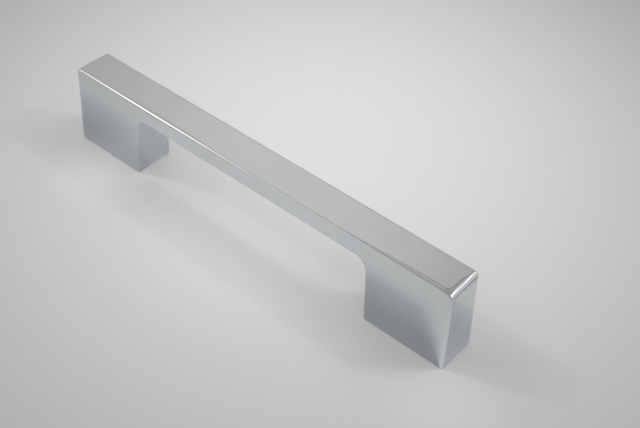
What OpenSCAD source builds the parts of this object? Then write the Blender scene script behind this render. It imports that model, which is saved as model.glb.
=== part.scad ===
// Bridge-shaped cabinet pull: a flat bar on two solid block feet, cast in one piece and polished.
// The feet stand on the plane z = 0. The bar runs along X, and the origin is midway between the
// screw holes. The ends and sides lean in towards the top, and the feet narrow towards the base
// inside the bridge, as a casting does that leaves its mould upwards and downwards.

/* [Fixing] */
// Distance between the centres of the screw holes
hole_spacing = 128; // [96:1:320]
// Outer diameter of the screw thread in each foot
thread_d = 4; // [3:0.5:6]
// Pitch of that thread, which sets the tapped wall
thread_pitch = 0.7; // [0.5:0.05:1]
// Depth of each blind hole, without the drill's point
hole_depth = 12; // [6:0.5:18]
// Height of the countersink at each hole's mouth
countersink_h = 0.5; // [0.2:0.1:1]

/* [Bridge] */
// Height from the base of the feet to the top of the bar
pull_h = 29.6; // [24:0.1:45]
// Width across the feet, measured at their base
pull_w = 14.5; // [12:0.1:24]
// Thickness of the bar
bar_t = 6.3; // [4:0.1:9]
// Length of each foot along the bar, measured at its base
foot_l = 29.3; // [16:0.1:40]

/* [Casting] */
// Lean of the ends and sides, in degrees from upright
outer_draft = 1.4; // [0:0.1:3]
// Lean of the feet's inner faces, in degrees from upright
inner_draft = 3.5; // [0:0.1:6]

/* [Edges] */
// Radius between each foot and the underside of the bar
arch_r = 4; // [1:0.1:8]
// Radius of the top edge at each end
end_r = 1.7; // [0.8:0.1:2.5]
// Radius of the long top edges
long_r = 0.6; // [0.2:0.1:0.8]
// Radius of the upright corners, at the base
corner_r = 1.3; // [0.8:0.1:2.5]
// Broken edge round the base of each foot
base_break = 0.3; // [0.1:0.1:0.6]
// Broken edge round the opening under the bar
gap_break = 0.4; // [0.2:0.1:0.8]

/* [Hidden] */

// Reach of a cut past the surface that it opens
past = 1;
// Thickness of the slices that span a blended shape
slice_t = 0.01;
// Half angle of a twist drill's point
drill_point_half_angle = 59;

underside_z = pull_h - bar_t;
half_l = (hole_spacing + foot_l) / 2;
half_w = pull_w / 2;
foot_inner_x = (hole_spacing - foot_l) / 2;
// How far the ends and sides have leaned in where the end's rounding begins
lean = (pull_h - end_r) * tan(outer_draft);
hole_r = (thread_d - thread_pitch) / 2;

$fn = 64;
blend_fn = 48;

// Place of the gap's side wall at a height, moved outwards by grow
function gap_x(z, grow) = foot_inner_x - z * tan(inner_draft) + grow / cos(inner_draft);

// Copies for the four corners of the plan
module at_corners(x, y) {
    for (sx = [-1, 1], sy = [-1, 1])
        translate([sx * x, sy * y, 0])
            children();
}

// Roller across the end of the bar, with its rims rounded to the radius of the long edges
module end_roller(half_length) {
    rotate([90, 0, 0])
        rotate_extrude($fn = blend_fn) {
            translate([0, long_r - half_length])
                square([end_r, 2 * (half_length - long_r)]);
            translate([0, -half_length])
                square([end_r - long_r, 2 * half_length]);
            for (side = [-1, 1])
                translate([end_r - long_r, side * (half_length - long_r)])
                    circle(long_r);
        }
}

// Foot of one upright corner, with the broken edge of the base
module corner_foot() {
    cylinder(h = base_break, r1 = corner_r - base_break, r2 = corner_r, $fn = blend_fn);
}

// The whole block before the gap is cut, leaning in on all four sides
module block() {
    hull() {
        for (side = [-1, 1])
            translate([side * (half_l - lean - end_r), 0, pull_h - end_r])
                end_roller(half_w - lean);
        at_corners(half_l - corner_r, half_w - corner_r)
            corner_foot();
    }
}

// Side view of the gap under the bar, moved outwards by grow
module gap_outline(grow) {
    top_z = underside_z + grow;
    r = arch_r + grow;
    arc_x = gap_x(top_z, grow) - r * (1 - sin(inner_draft)) / cos(inner_draft);
    arc_z = top_z - r;
    side_x = arc_x + r * cos(inner_draft);
    side_z = arc_z + r * sin(inner_draft);
    break_x = gap_x(base_break, grow);
    right = [[break_x + base_break + past, -past], [break_x, base_break], [side_x, side_z], [arc_x, top_z]];
    left = [for (i = [len(right) - 1:-1:0]) [-right[i][0], right[i][1]]];
    polygon(concat(right, left));
    for (side = [-1, 1])
        translate([side * arc_x, arc_z])
            circle(r);
}

// Side view set upright, with its first face at y = 0 and its thickness towards +Y
module upright(thickness) {
    rotate([90, 0, 0])
        translate([0, 0, -thickness])
            linear_extrude(thickness)
                children();
}

// Gap under the bar, through the whole width
module gap() {
    translate([0, -half_w - past, 0])
        upright(pull_w + 2 * past)
            gap_outline(0);
}

// Flare that breaks the gap's edge on the +Y side, square to the leaning side face
module gap_flare() {
    translate([0, half_w, 0])
        rotate([outer_draft, 0, 0])
            hull() {
                translate([0, -2 * gap_break, 0])
                    upright(slice_t)
                        gap_outline(-gap_break, $fn = blend_fn);
                translate([0, gap_break, 0])
                    upright(slice_t)
                        gap_outline(2 * gap_break, $fn = blend_fn);
            }
}

// Blind tapped hole, opening downwards, with a countersunk mouth and a drilled end
module screw_hole() {
    translate([0, 0, -past])
        cylinder(h = hole_depth + past, r = hole_r);
    translate([0, 0, hole_depth])
        cylinder(h = hole_r / tan(drill_point_half_angle), r1 = hole_r, r2 = 0);
    translate([0, 0, -past])
        cylinder(h = countersink_h + past, r1 = hole_r + countersink_h + past, r2 = hole_r);
}

module pull() {
    color([0.72, 0.74, 0.77])
        difference() {
            block();
            gap();
            gap_flare();
            mirror([0, 1, 0])
                gap_flare();
            for (side = [-1, 1])
                translate([side * hole_spacing / 2, 0, 0])
                    screw_hole();
        }
}

pull();
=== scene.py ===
"""Chrome-plated cabinet pull, standing on its feet on a pale floor under soft studio light.

The pull's skin is one mesh. A grid on a plain box with a gap in it is leaned, and each of its points
is then drawn onto a smooth implicit surface, which rounds the edges and also gives the normals.
"""
from math import cos, pi, radians, sin, tan

import bpy
import numpy as np
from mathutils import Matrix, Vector


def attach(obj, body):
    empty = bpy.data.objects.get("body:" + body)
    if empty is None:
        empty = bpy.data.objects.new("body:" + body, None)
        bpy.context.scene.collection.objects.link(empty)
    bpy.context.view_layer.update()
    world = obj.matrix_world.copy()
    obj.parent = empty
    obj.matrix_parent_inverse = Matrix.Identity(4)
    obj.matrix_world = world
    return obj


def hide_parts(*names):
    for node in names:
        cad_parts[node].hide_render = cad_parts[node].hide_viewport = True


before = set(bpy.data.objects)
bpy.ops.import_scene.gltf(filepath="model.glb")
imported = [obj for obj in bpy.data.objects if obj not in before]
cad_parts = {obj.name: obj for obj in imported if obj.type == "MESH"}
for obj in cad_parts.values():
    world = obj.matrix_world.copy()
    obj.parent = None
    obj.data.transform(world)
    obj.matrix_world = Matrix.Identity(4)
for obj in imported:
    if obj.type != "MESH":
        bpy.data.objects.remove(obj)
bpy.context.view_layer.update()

MM = 0.001

# Sizes of the pull, in millimetres, as in the part's source
HOLE_SPACING = 128.0
THREAD_D = 4.0
THREAD_PITCH = 0.7
HOLE_DEPTH = 12.0
COUNTERSINK_H = 0.5
PULL_H = 29.6
PULL_W = 14.5
BAR_T = 6.3
FOOT_L = 29.3
OUTER_DRAFT = radians(1.4)
INNER_DRAFT = radians(3.5)
ARCH_R = 4.0
CORNER_R = 1.3
BASE_BREAK = 0.3
GAP_BREAK = 0.4
DRILL_POINT_HALF_ANGLE = radians(59)

HALF_L = (HOLE_SPACING + FOOT_L) / 2
HALF_W = PULL_W / 2
FOOT_INNER_X = (HOLE_SPACING - FOOT_L) / 2
UNDERSIDE_Z = PULL_H - BAR_T

# How far polishing rolls each top edge over, measured in from the sharp edge: front, back and ends
LONG_REACH = 0.20
BACK_REACH = 0.85
END_REACH = 1.6
# Power of the curve across a rolled edge: 2 is a plain circle, and more stays squarer
PLAIN_ROUND = 2.0
LONG_POWER = 2.2
# The front edge is rolled over further by this much about one place along X, with this spread
LONG_MORE = 1.05
LONG_MORE_AT, LONG_MORE_SPAN = -42.0, 26.0
# It is rolled over further by this much at its right-hand tip, growing from this place along X
TIP_MORE = 0.42
TIP_FROM = 75.0
# The left end is rolled over further than the right one by this much
LEFT_END_MORE = 0.5
# Both ends are rolled over further towards the back: by how much, and where that begins and is complete
END_GROWTH = 0.30
END_GROWS_FROM, END_GROWS_TO = 0.5, 6.0
# Depth over which the upright corners' rounding turns into the rolled edge at the end of the top
CORNER_TO_TOP = 1.6
# Height above the base over which the waviness sets in, because the feet stand flat
WAVES_FROM_BASE = 3.0
# Shallow crown that leads up to the front edge and the ends: where its outer border lies, that border's
# corner radius, its slope, its width on the left and on the right of the stretch along X over which it
# widens, and the stretch along Y over which it goes back to the narrow width
CROWN_HALF_L = 77.1
CROWN_CORNER_R = 3.4
CROWN_SLOPE = 0.20
CROWN_NARROW, CROWN_WIDE = 0.45, 1.75
CROWN_FROM, CROWN_TO = 34.0, 70.0
CROWN_BACK_FROM, CROWN_BACK_TO = 0.0, 6.0


def soft_join(a, b, reach, power):
    """Meet of two half spaces, given as signed distances, with a rounded edge."""
    u = np.maximum(a + reach, 0.0)
    v = np.maximum(b + reach, 0.0)
    inside = np.minimum(np.maximum(a + reach, b + reach), 0.0)
    return (u ** power + v ** power) ** (1 / power) - reach + inside


def smooth_step(x):
    """Rises smoothly from 0 to 1 while x goes from 0 to 1."""
    t = np.clip(x, 0.0, 1.0)
    return t * t * (3 - 2 * t)


def waviness(x, y, z):
    """The slow unevenness that hand polishing leaves, as a depth below the cast face in millimetres."""
    long_wave = 0.004 * (1 + np.sin(0.13 * x + 0.9)) + 0.003 * (1 + np.sin(0.31 * x + 0.4 * y + 2.1))
    short_wave = 0.0012 * (1 + np.sin(0.83 * x + 0.37 * z) * np.sin(0.71 * y + 0.59 * z + 0.6))
    return long_wave + short_wave


def crown(p):
    """How far the top has been worn down beside the front edge and the ends, in millimetres."""
    top_half_w = HALF_W - PULL_H * tan(OUTER_DRAFT)
    a = np.abs(p[:, 0]) - CROWN_HALF_L + CROWN_CORNER_R
    b = -p[:, 1] - top_half_w + CROWN_CORNER_R
    outwards = np.hypot(np.maximum(a, 0.0), np.maximum(b, 0.0)) + np.minimum(np.maximum(a, b), 0.0)
    inside = CROWN_CORNER_R - outwards
    along = smooth_step((p[:, 0] - CROWN_FROM) / (CROWN_TO - CROWN_FROM))
    across = smooth_step((p[:, 1] - CROWN_BACK_FROM) / (CROWN_BACK_TO - CROWN_BACK_FROM))
    width = CROWN_NARROW + (CROWN_WIDE - CROWN_NARROW) * along
    width -= (width - CROWN_NARROW) * across
    over = np.maximum(width - inside, 0.0)
    bent = np.minimum(over, width / 2)
    return CROWN_SLOPE * (bent ** 2 / width + over - bent)


def surface(p):
    """Signed distance to the pull's skin, in millimetres: negative inside the metal."""
    x, y, z = np.abs(p[:, 0]), np.abs(p[:, 1]), p[:, 2]
    lean_c, lean_s = cos(OUTER_DRAFT), sin(OUTER_DRAFT)
    end = (x - HALF_L) * lean_c + z * lean_s
    side = (y - HALF_W) * lean_c + z * lean_s
    top = z - PULL_H + crown(p)
    more = LONG_MORE * np.exp(-((p[:, 0] - LONG_MORE_AT) / LONG_MORE_SPAN) ** 2)
    more += TIP_MORE * smooth_step((p[:, 0] - TIP_FROM) / (HALF_L - TIP_FROM))
    long_roll = np.where(p[:, 1] < 0, LONG_REACH + more, BACK_REACH)
    bar = soft_join(side, top, long_roll, LONG_POWER)
    near_top = smooth_step(0.5 + (top - side) / CORNER_TO_TOP)
    end_roll = np.where(p[:, 0] < 0, END_REACH + LEFT_END_MORE, END_REACH)
    end_roll += END_GROWTH * smooth_step((p[:, 1] - END_GROWS_FROM) / (END_GROWS_TO - END_GROWS_FROM))
    body = soft_join(end, bar, CORNER_R + (end_roll - CORNER_R) * near_top, PLAIN_ROUND)
    body = soft_join(body, -z, BASE_BREAK, PLAIN_ROUND)
    inner = (x - FOOT_INNER_X) * cos(INNER_DRAFT) + z * sin(INNER_DRAFT)
    gap = soft_join(inner, z - UNDERSIDE_Z, ARCH_R, PLAIN_ROUND)
    skin = soft_join(body, -gap, GAP_BREAK, PLAIN_ROUND)
    above_base = smooth_step(z / WAVES_FROM_BASE)
    return skin + above_base * waviness(p[:, 0], p[:, 1], z)


def gradient(p, step=0.002):
    """Direction in which the signed distance grows, by central differences."""
    g = np.empty_like(p)
    for axis in range(3):
        d = np.zeros(3)
        d[axis] = step
        g[:, axis] = (surface(p + d) - surface(p - d)) / (2 * step)
    return g


def edge_steps(radius, count=7):
    """Distances from a sharp edge at which slices land evenly round a fillet of this radius."""
    return [radius * (1 - tan(pi / 4 * k / count)) for k in range(count)] + [0.0]


def spread(lo, hi, fine_lo, fine_hi, widest):
    """Slices from lo to hi: fine near both ends, and evenly spaced between them."""
    left = [lo + s for s in fine_lo]
    right = [hi - s for s in fine_hi]
    start, stop = max(left), min(right)
    count = max(1, int(np.ceil((stop - start) / widest)))
    between = [start + (stop - start) * k / count for k in range(1, count)]
    return sorted(left + between + right)


def thin(values, least=0.03):
    """The same slices without those that all but coincide."""
    kept = [values[0]]
    for v in values[1:]:
        if v - kept[-1] > least:
            kept.append(v)
    kept[-1] = values[-1]
    return kept


def merged(*step_lists):
    """Several sets of slices as one."""
    return thin(sorted(set(sum(step_lists, []))))


# Half the side of the square round each hole in which the base is laid out in rings, and its cells a side
HOLE_PATCH = 4.2
PATCH_CELLS = 12
# Width of the grid's cells over the crown, and how far they go on past the crown's corner
CROWN_STEP = 0.28
CROWN_PAST = 1.0
# Widest cells of the grid, on the whole and up through the thickness of the bar
WIDEST = 1.2
WIDEST_IN_BAR = 0.8
# Distance from an edge at which the cells have grown to nearly that width
FINE_TO = 5.2
# Places of the slices next to the narrow breaks of the gap and of the base, measured from the sharp edge
GAP_STEPS = [0.8, 1.6]
BASE_STEPS = [0.6, 1.2]
# Least distance from the square round a hole to the next slice beside it
CLEAR_OF_PATCH = 0.2
# Cells over the arch, where an edge elsewhere has the count that edge_steps gives it
ARCH_CELLS = 12

crown_steps = [CROWN_STEP * k for k in range(1, int((CROWN_CORNER_R + CROWN_PAST) / CROWN_STEP))]
ends = merged(edge_steps(CORNER_R), crown_steps, [FINE_TO])
sides = merged(edge_steps(LONG_REACH + LONG_MORE), edge_steps(CORNER_R), edge_steps(GAP_BREAK), crown_steps)
patch = [HOLE_PATCH * (2 * k / PATCH_CELLS - 1) for k in range(PATCH_CELLS + 1)]
foot_in = merged(edge_steps(GAP_BREAK), GAP_STEPS)
gap_out = merged(edge_steps(ARCH_R, ARCH_CELLS), [FINE_TO])

hole_x = HOLE_SPACING / 2
foot_low = spread(FOOT_INNER_X, hole_x - HOLE_PATCH, foot_in, [0.0], WIDEST)
foot_high = spread(hole_x + HOLE_PATCH, HALF_L, [0.0], ends, WIDEST)
foot_slices = foot_low + [hole_x + s for s in patch[1:-1]] + foot_high
gap_slices = spread(-FOOT_INNER_X, FOOT_INNER_X, gap_out, gap_out, WIDEST)
XS = np.array([-v for v in reversed(foot_slices)] + gap_slices[1:-1] + foot_slices)
side_slices = [HALF_W - s for s in reversed(sides)]
side_slices = [v for v in side_slices if v > HOLE_PATCH + CLEAR_OF_PATCH]
YS = np.array([-v for v in reversed(side_slices)] + patch + side_slices)
low_z = spread(0.0, UNDERSIDE_Z, merged(edge_steps(BASE_BREAK), BASE_STEPS), gap_out, WIDEST)
top_in = merged(edge_steps(LONG_REACH + LONG_MORE), edge_steps(CROWN_WIDE), edge_steps(END_REACH))
high_z = spread(UNDERSIDE_Z, PULL_H, foot_in, top_in, WIDEST_IN_BAR)
ZS = np.array(low_z + high_z[1:])


def rounded(p, first, second, radius):
    """Draws the square corner that two axes of the grid make at their outer limits in to a round one."""
    outer = (HALF_L, HALF_W, PULL_H)
    q = p.copy()
    a = np.maximum(np.abs(p[:, first]) - outer[first] + radius, 0.0)
    b = np.maximum(np.abs(p[:, second]) - outer[second] + radius, 0.0)
    draw = np.maximum(a, b) / np.maximum(np.hypot(a, b), 1e-9) - 1
    draw[(a == 0) | (b == 0)] = 0.0
    q[:, first] += np.sign(p[:, first]) * a * draw
    q[:, second] += np.sign(p[:, second]) * b * draw
    return q


# Radii that the grid itself is given at the top of each end, and how far into the metal it gives way
# to the rounding of the gap's upper corners
GRID_END_R = 2.0
GRID_LONG_R = 0.4
ARCH_GIVE_X = 7.0
ARCH_GIVE_Z = 5.5


def arched(p):
    """Bends the grid round the gap's upper corners, so that its edges already lie near the arch."""
    x, y, z = p.T
    ax = np.abs(x)
    a = ARCH_R - np.clip(FOOT_INNER_X - ax, 0.0, ARCH_R)
    b = ARCH_R - np.clip(UNDERSIDE_Z - z, 0.0, ARCH_R)
    give = 1 - smooth_step((ax - FOOT_INNER_X) / ARCH_GIVE_X)
    give *= 1 - smooth_step((z - UNDERSIDE_Z) / ARCH_GIVE_Z)
    pull_in = (ARCH_R / np.maximum(np.hypot(a, b), ARCH_R) - 1) * give
    return np.column_stack([x + np.sign(x) * a * pull_in, y, z + b * pull_in])


def lean(p):
    """Moves the box's points out to the leaning faces of the casting."""
    x, y, z = p.T
    shrink_y = 1 - z * tan(OUTER_DRAFT) / HALF_W
    end_x = HALF_L - z * tan(OUTER_DRAFT)
    wall_x = FOOT_INNER_X - np.minimum(z, UNDERSIDE_Z) * tan(INNER_DRAFT)
    ax = np.abs(x)
    in_foot = wall_x + (ax - FOOT_INNER_X) * (end_x - wall_x) / (HALF_L - FOOT_INNER_X)
    in_gap = ax * wall_x / FOOT_INNER_X
    return np.column_stack([np.sign(x) * np.where(ax >= FOOT_INNER_X, in_foot, in_gap), y * shrink_y, z])


def box_skin():
    """Quads on the outside of the sliced box, with the gap under the bar left out."""
    nx, ny, nz = len(XS) - 1, len(YS) - 1, len(ZS) - 1
    mid_x = (XS[1:] + XS[:-1]) / 2
    mid_z = (ZS[1:] + ZS[:-1]) / 2
    solid = np.ones((nx + 2, ny + 2, nz + 2), bool)
    solid[0], solid[-1] = False, False
    solid[:, 0], solid[:, -1] = False, False
    solid[:, :, 0], solid[:, :, -1] = False, False
    open_cells = (np.abs(mid_x)[:, None] < FOOT_INNER_X) & (mid_z[None, :] < UNDERSIDE_Z)
    solid[1:-1, 1:-1, 1:-1] &= ~open_cells[:, None, :]
    corners = []
    for axis in range(3):
        other = [a for a in range(3) if a != axis]
        for sign in (1, -1):
            facing = solid & ~np.roll(solid, -sign, axis)
            cells = np.argwhere(facing) - 1
            base = cells.copy()
            base[:, axis] += 1 if sign > 0 else 0
            loop = [(0, 0), (1, 0), (1, 1), (0, 1)]
            if (sign > 0) == (axis == 1):
                loop.reverse()
            quad = np.repeat(base[:, None, :], 4, axis=1)
            for n, (u, v) in enumerate(loop):
                quad[:, n, other[0]] += u
                quad[:, n, other[1]] += v
            corners.append(quad)
    quads = np.concatenate(corners)
    flat = (quads[..., 0] * (ny + 1) + quads[..., 1]) * (nz + 1) + quads[..., 2]
    used, faces = np.unique(flat, return_inverse=True)
    faces = faces.reshape(flat.shape)
    i, rest = np.divmod(used, (ny + 1) * (nz + 1))
    j, k = np.divmod(rest, nz + 1)
    points = np.column_stack([XS[i], YS[j], ZS[k]])
    return points, faces


# Rounds of drawing the grid onto the skin, and the least squared slope that a step reckons with
DRAW_ROUNDS = 12
LEAST_SLOPE = 0.25


def drawn_on(points, fixed):
    """Draws the points onto the skin, apart from those that stay on the flat base."""
    p = points.copy()
    free = ~fixed
    for _ in range(DRAW_ROUNDS):
        g = gradient(p[free])
        p[free] -= surface(p[free])[:, None] * g / np.maximum((g * g).sum(1), LEAST_SLOPE)[:, None]
    return p


# Profile of the thread's groove over one turn: its height at mid groove, cut off at full depth, and the
# slope of its flanks
GROOVE_TOP = 1.35
GROOVE_SLOPE = 3.2
# Length at the bottom of each hole that the tap doesn't reach
TAP_SHORT = 1.6
# Rows of points to one turn of the thread
THREAD_ROWS = 12
# Places of the other rings of points, as shares: of the way in over the base to the countersink, of the
# way down the countersink, and of the wall's radius in the drill's point
BASE_RINGS = (0.35, 0.7, 0.9, 1.0)
SINK_RINGS = (0.1, 0.5, 0.9)
POINT_RINGS = (0.6, 0.2, 0.02)


def thread_radius(z, turn):
    """Radius of the tapped wall at a height and an angle, in turns, with the cut fading at both ends."""
    minor = (THREAD_D - THREAD_PITCH) / 2
    phase = (z / THREAD_PITCH - turn) % 1.0
    groove = np.clip(GROOVE_TOP - np.abs(phase - 0.5) * GROOVE_SLOPE, 0.0, 1.0)
    start = smooth_step((z - COUNTERSINK_H) / THREAD_PITCH)
    stop = smooth_step((HOLE_DEPTH - TAP_SHORT - z) / THREAD_PITCH)
    return minor + (THREAD_D / 2 - minor) * groove * start * stop


def hole_rings(boundary, centre_x):
    """Rings of points from the square patch in the base down into one threaded hole."""
    turn_angle = np.arctan2(boundary[:, 1], boundary[:, 0] - centre_x)
    around = np.column_stack([np.cos(turn_angle), np.sin(turn_angle)])
    turn = turn_angle / (2 * pi)
    mouth_r = (THREAD_D - THREAD_PITCH) / 2 + COUNTERSINK_H
    edge_r = np.hypot(boundary[:, 1], boundary[:, 0] - centre_x)
    rings = []
    for share in BASE_RINGS:
        rings.append((edge_r + (mouth_r - edge_r) * share, 0.0))
    wall_r = mouth_r - COUNTERSINK_H
    for share in SINK_RINGS:
        rings.append((np.full(len(turn), mouth_r - COUNTERSINK_H * share), COUNTERSINK_H * share))
    rows = int(round((HOLE_DEPTH - COUNTERSINK_H) / THREAD_PITCH * THREAD_ROWS))
    for row in range(rows + 1):
        z = COUNTERSINK_H + (HOLE_DEPTH - COUNTERSINK_H) * row / rows
        rings.append((thread_radius(z, turn), z))
    for share in POINT_RINGS:
        point_z = HOLE_DEPTH + wall_r * (1 - share) / tan(DRILL_POINT_HALF_ANGLE)
        rings.append((np.full(len(turn), wall_r * share), point_z))
    placed = []
    for r, z in rings:
        height = np.full(len(turn), z)
        placed.append(np.column_stack([centre_x + r * around[:, 0], r * around[:, 1], height]))
    return placed


def pull_mesh():
    """Points and faces of the whole skin, its normals, and which points those normals hold for."""
    points, faces = box_skin()
    down = (points[faces][:, :, 2] == 0.0).all(axis=1)
    middle = points[faces].mean(axis=1)
    around_hole = down & (np.abs(np.abs(middle[:, 0]) - hole_x) < HOLE_PATCH)
    around_hole &= np.abs(middle[:, 1]) < HOLE_PATCH
    patches = {side: faces[around_hole & (np.sign(middle[:, 0]) == side)] for side in (-1, 1)}
    base_edge = HALF_W - BASE_BREAK
    flat_base = (points[:, 2] == 0.0) & (np.abs(points[:, 1]) < base_edge)
    flat_base &= np.abs(points[:, 0]) < HALF_L - BASE_BREAK
    flat_base &= np.abs(points[:, 0]) > FOOT_INNER_X + BASE_BREAK
    points = rounded(points, 0, 2, GRID_END_R)
    points = rounded(points, 1, 2, GRID_LONG_R)
    points = rounded(points, 0, 1, CORNER_R)
    points = drawn_on(lean(arched(points)), flat_base)
    normals = gradient(points)
    normals /= np.linalg.norm(normals, axis=1)[:, None]
    normals[flat_base] = (0.0, 0.0, -1.0)
    smooth = np.ones(len(points), bool)
    faces = [tuple(f) for f in faces[~around_hole]]
    for side, quads in patches.items():
        rim = patch_rim(quads)
        rings = hole_rings(points[rim], side * hole_x)
        ring = list(rim)
        for ring_points in rings:
            start = len(points)
            points = np.vstack([points, ring_points])
            new = list(range(start, start + len(ring_points)))
            faces += [(ring[n - 1], ring[n], new[n], new[n - 1]) for n in range(len(ring))]
            ring = new
        faces.append(tuple(ring))
    smooth = np.concatenate([smooth, np.zeros(len(points) - len(smooth), bool)])
    normals = np.vstack([normals, np.zeros((len(points) - len(normals), 3))])
    used = np.unique(np.concatenate([np.array(f) for f in faces]))
    place = {int(v): n for n, v in enumerate(used)}
    faces = [tuple(place[int(v)] for v in f) for f in faces]
    return points[used], faces, normals[used], smooth[used]


def patch_rim(quads):
    """The boundary of a set of quads, as one loop of points in the quads' own direction."""
    steps = {}
    sides = [(q[n], q[(n + 1) % 4]) for q in quads.tolist() for n in range(4)]
    inside = set(sides)
    for a, b in sides:
        if (b, a) not in inside:
            steps[a] = b
    start = min(steps)
    loop = [start]
    while steps[loop[-1]] != start:
        loop.append(steps[loop[-1]])
    return loop


def make_pull():
    """The skin as an object, with its worked-out normals. The holes keep the mesh's own."""
    points, faces, normals, exact = pull_mesh()
    mesh = bpy.data.meshes.new("pull_skin")
    mesh.from_pydata(points * MM, [], faces)
    mesh.validate()
    mesh.update()
    mesh.polygons.foreach_set("use_smooth", [True] * len(mesh.polygons))
    own = np.empty(len(mesh.vertices) * 3)
    mesh.vertex_normals.foreach_get("vector", own)
    own = own.reshape(-1, 3)
    final = np.where(exact[:, None], normals, own)
    mesh.normals_split_custom_set_from_vertices(final.tolist())
    obj = bpy.data.objects.new("pull_skin", mesh)
    bpy.context.collection.objects.link(obj)
    return obj


def node(tree, kind, x, y, **values):
    """A shader node with its settings, and numbers set on its own sockets."""
    made = tree.nodes.new(kind)
    made.location = (x, y)
    for name, value in values.items():
        if name in made.inputs:
            made.inputs[name].default_value = value
        else:
            setattr(made, name, value)
    return made


# Roughness of the polished plate, from its clearest to its haziest, and of the unpolished base and threads
PLATE_ROUGHNESS = (0.12, 0.17)
BARE_ROUGHNESS = 0.38
# Colours of the plate, where it is thickest and thinnest, and of the bare zinc in the threads
PLATE_THICK = (0.764, 0.777, 0.793, 1)
PLATE_THIN = (0.788, 0.797, 0.807, 1)
BARE_ZINC = (0.58, 0.59, 0.60, 1)
# How finely the plate's colour, its haze and its orange peel vary, as noise cells to the metre
TONE_SCALE = 28.0
HAZE_SCALE = 90.0
PEEL_SCALE = 420.0
# Levels of the haze's noise at which the roughness has its lowest and its highest value
HAZE_FROM, HAZE_TO = 0.3, 0.7
# How strongly the orange peel bends the light, and its depth in metres
PEEL_STRENGTH = 0.04
PEEL_DEPTH = 0.0001
# In millimetres: how far past the thread's outer radius the bare zinc goes, and how high the base counts
BARE_PAST = 0.15
BASE_LAYER = 0.02


def chrome_material():
    """Bright chrome plate: faint haze in the gloss, and the orange peel that plating leaves.

    The base, which is never polished, is duller, and the tapped holes are cut through to bare zinc.
    """
    material = bpy.data.materials.new("chrome_plate")
    material.use_nodes = True
    tree = material.node_tree
    tree.nodes.clear()
    out = node(tree, "ShaderNodeOutputMaterial", 600, 0)
    metal = node(tree, "ShaderNodeBsdfPrincipled", 300, 0, Metallic=1.0)
    place = node(tree, "ShaderNodeTexCoord", -900, 0)
    parts = node(tree, "ShaderNodeSeparateXYZ", -900, 700)
    link = tree.links.new
    link(place.outputs["Object"], parts.inputs["Vector"])

    def math(operation, first, second, y):
        """The outcome of one sum on two values, each a socket or a number, or None where it takes one."""
        made = node(tree, "ShaderNodeMath", -600, y, operation=operation)
        for socket, value in ((made.inputs[0], first), (made.inputs[1], second)):
            if isinstance(value, float):
                socket.default_value = value
            elif value is not None:
                link(value, socket)
        return made.outputs["Value"]

    along = math("SUBTRACT", math("ABSOLUTE", parts.outputs["X"], None, 900), hole_x * MM, 850)
    along_squared = math("POWER", along, 2.0, 800)
    across_squared = math("POWER", parts.outputs["Y"], 2.0, 750)
    radius = math("SQRT", math("ADD", along_squared, across_squared, 700), None, 650)
    in_hole = math("LESS_THAN", radius, (THREAD_D / 2 + BARE_PAST) * MM, 600)
    low = math("LESS_THAN", parts.outputs["Z"], (HOLE_DEPTH + THREAD_D) * MM, 550)
    bare = math("MULTIPLY", in_hole, low, 500)
    on_base = math("LESS_THAN", parts.outputs["Z"], BASE_LAYER * MM, 450)
    dull = math("MAXIMUM", bare, on_base, 400)

    plate = node(tree, "ShaderNodeTexNoise", -600, 300, Scale=TONE_SCALE, Detail=2.0)
    tone = node(tree, "ShaderNodeMix", -300, 400, data_type="RGBA")
    tone.inputs[6].default_value = PLATE_THICK
    tone.inputs[7].default_value = PLATE_THIN
    link(place.outputs["Object"], plate.inputs["Vector"])
    link(plate.outputs["Fac"], tone.inputs[0])
    colour = node(tree, "ShaderNodeMix", 0, 400, data_type="RGBA")
    colour.inputs[7].default_value = BARE_ZINC
    link(bare, colour.inputs[0])
    link(tone.outputs[2], colour.inputs[6])
    link(colour.outputs[2], metal.inputs["Base Color"])
    haze = node(tree, "ShaderNodeTexNoise", -600, 100, Scale=HAZE_SCALE, Detail=4.0)
    gloss = node(tree, "ShaderNodeMapRange", -300, 100)
    gloss.inputs["From Min"].default_value = HAZE_FROM
    gloss.inputs["From Max"].default_value = HAZE_TO
    gloss.inputs["To Min"].default_value = PLATE_ROUGHNESS[0]
    gloss.inputs["To Max"].default_value = PLATE_ROUGHNESS[1]
    rough = node(tree, "ShaderNodeMix", 0, 100, data_type="FLOAT")
    rough.inputs[3].default_value = BARE_ROUGHNESS
    peel = node(tree, "ShaderNodeTexNoise", -600, -200, Scale=PEEL_SCALE, Detail=2.0)
    bump = node(tree, "ShaderNodeBump", -300, -200, Strength=PEEL_STRENGTH, Distance=PEEL_DEPTH)
    link(place.outputs["Object"], haze.inputs["Vector"])
    link(place.outputs["Object"], peel.inputs["Vector"])
    link(haze.outputs["Fac"], gloss.inputs["Value"])
    link(dull, rough.inputs[0])
    link(gloss.outputs["Result"], rough.inputs[2])
    link(rough.outputs[0], metal.inputs["Roughness"])
    link(peel.outputs["Fac"], bump.inputs["Height"])
    link(bump.outputs["Normal"], metal.inputs["Normal"])
    link(metal.outputs["BSDF"], out.inputs["Surface"])
    return material


# Side of the floor, in metres like all that follows
FLOOR_SIZE = 6.0
# Reflectance of the floor at its brightest, and the share and level of the glow that the camera sees in
# place of the lit board, which fills the shadows
FLOOR_COLOR = 0.8
FLOOR_FILL = 0.70
FLOOR_LEVEL = 0.755
# The pool of light painted on the floor is an oval: its middle, its turn about Z, its shape along its own
# axes, and how far out it has faded
POOL_AT = (-0.016, 0.052, 0.0)
POOL_TURN = radians(40.6)
POOL_SHAPE = (0.94, 1.06, 1.0)
POOL_REACH = 0.235
# What is left out there of the glow, and of the board's colour, where the pool's painted light has faded
POOL_EDGE = 0.44
BOARD_PAINTED_EDGE = 0.52
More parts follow.
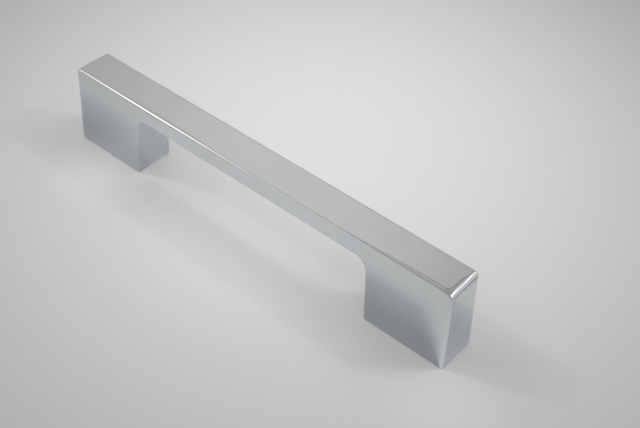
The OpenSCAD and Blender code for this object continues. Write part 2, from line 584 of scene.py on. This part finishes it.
# The polished faces mirror that glow too, but only from this far out, and fully where the pool ends
NEAR_FLOOR = 0.14
# Painted contact shade: how far round an object its nearness dims that glow, and by how much where it
# touches
CONTACT_REACH = 0.030
CONTACT_SHADE_SHARE = 0.55
CONTACT_SAMPLES = 8
# Light that the polished faces throw back on the floor, painted into its colour and glow: place, reach and
# added share. The last is a painted shade
PAINTED_THROWN = [
    ((-0.060, -0.015, 0.0), 0.023, 0.18),
    ((0.004, -0.012, 0.0), 0.046, 0.05),
    ((0.087, -0.017, 0.0), 0.026, 0.11),
    ((0.092, 0.006, 0.0), 0.022, -0.05),
]


def floor_material():
    """Pale matt board, its colour painted with a pool of light that fades outwards and with spots of
    painted light and shade. For the camera, a glow of its own fills the shadows in part.
    """
    material = bpy.data.materials.new("pale_board")
    material.use_nodes = True
    tree = material.node_tree
    tree.nodes.clear()
    link = tree.links.new
    out = node(tree, "ShaderNodeOutputMaterial", 600, 0)
    place = node(tree, "ShaderNodeNewGeometry", -900, 0)
    oval = node(tree, "ShaderNodeMapping", -850, 0, vector_type="TEXTURE")
    oval.inputs["Location"].default_value = POOL_AT
    oval.inputs["Rotation"].default_value = (0, 0, POOL_TURN)
    oval.inputs["Scale"].default_value = POOL_SHAPE
    away = node(tree, "ShaderNodeVectorMath", -700, 0, operation="LENGTH")
    link(place.outputs["Position"], oval.inputs["Vector"])
    link(oval.outputs["Vector"], away.inputs[0])

    # Painted spots of light and shade, multiplied into the floor's colour and glow
    painted_thrown = None
    for n, (centre, reach, share) in enumerate(PAINTED_THROWN):
        off = node(tree, "ShaderNodeVectorMath", -700, -300 * n - 300, operation="DISTANCE")
        off.inputs[1].default_value = centre
        link(place.outputs["Position"], off.inputs[0])
        pool = node(tree, "ShaderNodeMapRange", -550, -300 * n - 300, interpolation_type="SMOOTHSTEP")
        pool.inputs["From Max"].default_value = reach
        pool.inputs["To Min"].default_value = 1 + share
        pool.inputs["To Max"].default_value = 1.0
        link(off.outputs["Value"], pool.inputs["Value"])
        if painted_thrown is None:
            painted_thrown = pool.outputs["Result"]
        else:
            both = node(tree, "ShaderNodeMath", -400, -300 * n - 300, operation="MULTIPLY")
            link(painted_thrown, both.inputs[0])
            link(pool.outputs["Result"], both.inputs[1])
            painted_thrown = both.outputs["Value"]

    def fade(level, edge, y):
        """A level that fades from the pool's middle to that share of it, as painted light, with the painted
        light and shade from the polished faces on it.
        """
        tone = node(tree, "ShaderNodeMapRange", -400, y, interpolation_type="SMOOTHSTEP")
        tone.inputs["From Min"].default_value = 0.0
        tone.inputs["From Max"].default_value = POOL_REACH
        tone.inputs["To Min"].default_value = level
        tone.inputs["To Max"].default_value = level * edge
        link(away.outputs["Value"], tone.inputs["Value"])
        lit = node(tree, "ShaderNodeMath", -200, y, operation="MULTIPLY")
        link(tone.outputs["Result"], lit.inputs[0])
        link(painted_thrown, lit.inputs[1])
        return lit.outputs["Value"]

    # The board's colour carries the painted pool of light and the painted spots of light and shade
    board = node(tree, "ShaderNodeBsdfDiffuse", 0, 100)
    link(fade(FLOOR_COLOR, BOARD_PAINTED_EDGE, 200), board.inputs["Color"])
    glow = node(tree, "ShaderNodeEmission", 0, -100)
    # Painted contact shade: the glow is dimmed where other things are near
    contact = node(tree, "ShaderNodeAmbientOcclusion", -400, -400, samples=CONTACT_SAMPLES)
    contact.inputs["Distance"].default_value = CONTACT_REACH
    painted_contact_shade = node(tree, "ShaderNodeMapRange", -200, -400)
    painted_contact_shade.inputs["To Min"].default_value = 1 - CONTACT_SHADE_SHARE
    link(contact.outputs["AO"], painted_contact_shade.inputs["Value"])
    strength = node(tree, "ShaderNodeMath", -100, -200, operation="MULTIPLY")
    link(fade(FLOOR_LEVEL, POOL_EDGE, -100), strength.inputs[0])
    link(painted_contact_shade.outputs["Result"], strength.inputs[1])
    link(strength.outputs["Value"], glow.inputs["Strength"])
    ray = node(tree, "ShaderNodeLightPath", -600, 500)
    far = node(tree, "ShaderNodeMapRange", -600, 700)
    far.inputs["From Min"].default_value = NEAR_FLOOR
    far.inputs["From Max"].default_value = POOL_REACH
    link(away.outputs["Value"], far.inputs["Value"])
    mirrored = node(tree, "ShaderNodeMath", -400, 600, operation="MULTIPLY")
    link(ray.outputs["Is Glossy Ray"], mirrored.inputs[0])
    link(far.outputs["Result"], mirrored.inputs[1])
    plain = node(tree, "ShaderNodeMath", -400, 450, operation="MAXIMUM")
    link(ray.outputs["Is Camera Ray"], plain.inputs[0])
    link(ray.outputs["Is Transmission Ray"], plain.inputs[1])
    seen = node(tree, "ShaderNodeMath", -300, 500, operation="MAXIMUM")
    link(plain.outputs["Value"], seen.inputs[0])
    link(mirrored.outputs["Value"], seen.inputs[1])
    share = node(tree, "ShaderNodeMath", -200, 500, operation="MULTIPLY")
    share.inputs[1].default_value = FLOOR_FILL
    mix = node(tree, "ShaderNodeMixShader", 300, 0)
    link(seen.outputs["Value"], share.inputs[0])
    link(share.outputs["Value"], mix.inputs["Fac"])
    link(board.outputs["BSDF"], mix.inputs[1])
    link(glow.outputs["Emission"], mix.inputs[2])
    link(mix.outputs["Shader"], out.inputs["Surface"])
    return material


def make_floor():
    """One large square that the feet stand on."""
    half = FLOOR_SIZE / 2
    corners = [(-half, -half, 0), (half, -half, 0), (half, half, 0), (-half, half, 0)]
    mesh = bpy.data.meshes.new("floor")
    mesh.from_pydata(corners, [], [(0, 1, 2, 3)])
    floor = bpy.data.objects.new("floor", mesh)
    bpy.context.collection.objects.link(floor)
    mesh.materials.append(floor_material())


# The photo's light is a tall soft source on each side, so each side has a small lamp low down and a tall
# one above it: name, centre, point aimed at, width and height in metres, and power in watts
LAMPS = [
    ("lamp_right_low", (0.356, 0.270, 0.480), (-3.0, -1.75, 0.0), 0.06, 0.08, 1.34),
    ("lamp_right_high", (0.265, 0.295, 0.680), (-0.10, -0.08, 0.0), 0.10, 0.42, 1.65),
    ("lamp_left_low", (-0.435, -0.171, 0.455), (2.67, 1.43, 0.0), 0.06, 0.08, 1.22),
    ("lamp_left_high", (-0.375, -0.147, 0.660), (0.10, 0.05, 0.0), 0.10, 0.40, 0.93),
]
# They are slightly warm
LAMP_COLOR = (1.02, 1.0, 0.958)


def make_lamp(name, centre, aim, width, height, power):
    """A softbox that faces the aim. It lights the floor and isn't itself mirrored in the chrome."""
    data = bpy.data.lights.new(name, "AREA")
    data.shape = "RECTANGLE"
    data.size = width
    data.size_y = height
    data.energy = power
    data.color = LAMP_COLOR
    lamp = bpy.data.objects.new(name, data)
    lamp.location = centre
    lamp.rotation_euler = (Vector(aim) - Vector(centre)).to_track_quat("-Z", "Y").to_euler()
    lamp.visible_glossy = False
    bpy.context.collection.objects.link(lamp)


def towards(azimuth, elevation):
    """Unit vector towards a place in the surroundings, given in degrees."""
    a, e = radians(azimuth), radians(elevation)
    return (cos(a) * cos(e), sin(a) * cos(e), sin(e))


# Walls, and the ceiling above them: brightness, and the elevations in degrees between which one turns
# into the other
WALL_LEVEL = 0.46
CEILING_LEVEL = 0.42
WALL_TOP = 46.0
CEILING_FROM = 54.0
# Share of that brightness with which the room lights matt things, where the lamps do most of the work
ROOM_SHARE = 0.38
# How far from that share to the full one a mirrored ray gets when it has left something matt before
BOUNCE_SHARE = 0.6
# Azimuth and elevation of the large softbox that the left part of the front edge mirrors
SOFTBOX_AZ, SOFTBOX_EL = 227, 9
# Radii in degrees within which it is of a creamy colour, fully and at all
CREAM_WITHIN, CREAM_TO = 8, 30
# Azimuth and elevation of the room's neutral side, and the cosines of the angle away from it at which the
# room's colour is fully cool and fully neutral
NEUTRAL_AZ, NEUTRAL_EL = 125, 20
COOL_AT, NEUTRAL_AT = -0.2, 0.6
# Soft patches on walls and ceiling, which the rolled edges mirror as fine light and dark lines: azimuth,
# elevation, inner and outer radius in degrees, and added brightness
PATCHES = [
    (131.5, 41.5, 0, 12, 0.20),
    (225, 22, 10, 48, 0.20),
    (124.5, 54, 1, 6, -0.14),
    (116.5, 51.8, 1, 5, -0.16),
    (107.5, 49.6, 1, 6, -0.18),
    (134, 61.5, 1, 6, 0.18),
    (166, 73, 3, 13, -0.18),
    (145, 67.5, 3, 6.5, -0.16),
    (97, 71, 3, 14, -0.10),
    (28, 62, 3, 18, 0.45),
    (166, 59, 2, 7, -0.20),
    (57, 41, 2, 22, 0.35),
    (38, 48, 3, 20, 0.7),
    (SOFTBOX_AZ, SOFTBOX_EL, 5, 21, 1.00),
    (302, 45, 9, 28, -0.45),
    (44, 12, 4, 20, 0.18),
]
# Colours of the room as it is mirrored: at its neutral side, opposite that, and at the softbox
NEUTRAL = (1.0, 1.0, 1.0, 1)
COOL = (0.97, 1.0, 1.03, 1)
CREAM = (1.04, 1.01, 0.95, 1)
# Colour with which the room lights matt things, which makes up for the lamps' warmth
SHADE = (0.84, 0.995, 1.18, 1)


def make_world():
    """A plain room: grey walls, a slightly darker ceiling, and soft lighter and darker patches."""
    world = bpy.data.worlds.new("studio")
    bpy.context.scene.world = world
    world.use_nodes = True
    tree = world.node_tree
    tree.nodes.clear()
    link = tree.links.new
    out = node(tree, "ShaderNodeOutputWorld", 1000, 0)
    back = node(tree, "ShaderNodeBackground", 800, 0)
    place = node(tree, "ShaderNodeTexCoord", -900, 0)
    parts = node(tree, "ShaderNodeSeparateXYZ", -700, 300)
    link(place.outputs["Generated"], parts.inputs["Vector"])

    def ramp(value, start, stop, low, high, y):
        """Goes smoothly from low to high while the value goes from start to stop."""
        step = node(tree, "ShaderNodeMapRange", -300, y, interpolation_type="SMOOTHSTEP")
        for name, number in (("From Min", start), ("From Max", stop), ("To Min", low), ("To Max", high)):
            step.inputs[name].default_value = number
        link(value, step.inputs["Value"])
        return step.outputs["Result"]

    def nearness(azimuth, elevation, y):
        """Cosine of the angle between the ray and a place in the surroundings."""
        dot = node(tree, "ShaderNodeVectorMath", -500, y, operation="DOT_PRODUCT")
        dot.inputs[1].default_value = towards(azimuth, elevation)
        link(place.outputs["Generated"], dot.inputs[0])
        return dot.outputs["Value"]

    top = (sin(radians(WALL_TOP)), sin(radians(CEILING_FROM)))
    level = ramp(parts.outputs["Z"], top[0], top[1], WALL_LEVEL, CEILING_LEVEL, 300)
    for n, (azimuth, elevation, inner, outer, peak) in enumerate(PATCHES):
        y = -200 * n
        near = nearness(azimuth, elevation, y)
        patch = ramp(near, cos(radians(outer)), cos(radians(inner)), 0.0, peak, y)
        total = node(tree, "ShaderNodeMath", 0, y, operation="ADD")
        link(level, total.inputs[0])
        link(patch, total.inputs[1])
        level = total.outputs["Value"]
    warmth = ramp(nearness(NEUTRAL_AZ, NEUTRAL_EL, 500), COOL_AT, NEUTRAL_AT, 0.0, 1.0, 500)
    tint = node(tree, "ShaderNodeMix", 300, 400, data_type="RGBA")
    tint.inputs[6].default_value = COOL
    tint.inputs[7].default_value = NEUTRAL
    link(warmth, tint.inputs[0])
    ray = node(tree, "ShaderNodeLightPath", -300, 800)
    shiny = node(tree, "ShaderNodeMath", -150, 800, operation="MAXIMUM")
    link(ray.outputs["Is Glossy Ray"], shiny.inputs[0])
    link(ray.outputs["Is Transmission Ray"], shiny.inputs[1])
    seen = node(tree, "ShaderNodeMath", 0, 800, operation="MAXIMUM")
    link(ray.outputs["Is Camera Ray"], seen.inputs[0])
    link(shiny.outputs["Value"], seen.inputs[1])
    matt = node(tree, "ShaderNodeMapRange", 0, 1000)
    matt.inputs["To Min"].default_value = 1.0
    matt.inputs["To Max"].default_value = BOUNCE_SHARE
    link(ray.outputs["Diffuse Depth"], matt.inputs["Value"])
    direct = node(tree, "ShaderNodeMath", 150, 900, operation="MULTIPLY")
    link(seen.outputs["Value"], direct.inputs[0])
    link(matt.outputs["Result"], direct.inputs[1])
    share = ramp(direct.outputs["Value"], 0.0, 1.0, ROOM_SHARE, 1.0, 900)
    near = nearness(SOFTBOX_AZ, SOFTBOX_EL, 650)
    softbox = ramp(near, cos(radians(CREAM_TO)), cos(radians(CREAM_WITHIN)), 0.0, 1.0, 650)
    cream = node(tree, "ShaderNodeMix", 400, 600, data_type="RGBA")
    cream.inputs[7].default_value = CREAM
    link(softbox, cream.inputs[0])
    link(tint.outputs[2], cream.inputs[6])
    fill = node(tree, "ShaderNodeMix", 500, 400, data_type="RGBA")
    fill.inputs[6].default_value = SHADE
    link(direct.outputs["Value"], fill.inputs[0])
    link(cream.outputs[2], fill.inputs[7])
    link(fill.outputs[2], back.inputs["Color"])
    strength = node(tree, "ShaderNodeMath", 300, 800, operation="MULTIPLY")
    link(level, strength.inputs[0])
    link(share, strength.inputs[1])
    link(strength.outputs["Value"], back.inputs["Strength"])
    link(back.outputs["Background"], out.inputs["Surface"])


# Camera at the photograph's place and angle: millimetres, degrees, and the lens on a 36 mm wide sensor
CAMERA_AT = (177.2, -189.2, 247.4)
CAMERA_TURN = (47.19, -1.98, 40.65)
CAMERA_LENS = 61.9
SENSOR_W = 36.0
# Nearest that the camera sees, in metres
CLIP_START = 0.01


def make_camera():
    """The photograph's view, as fitted to the edges of the pull in it."""
    data = bpy.data.cameras.new("camera")
    data.sensor_width = SENSOR_W
    data.lens = CAMERA_LENS
    data.clip_start = CLIP_START
    camera = bpy.data.objects.new("camera", data)
    camera.location = [v * MM for v in CAMERA_AT]
    camera.rotation_euler = [radians(v) for v in CAMERA_TURN]
    bpy.context.collection.objects.link(camera)
    bpy.context.scene.camera = camera


bpy.context.scene.view_settings.view_transform = "Standard"

pull = make_pull()
pull.data.materials.append(chrome_material())
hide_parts("pull")
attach(pull, "root")

make_floor()
make_world()
for lamp in LAMPS:
    make_lamp(*lamp)
make_camera()
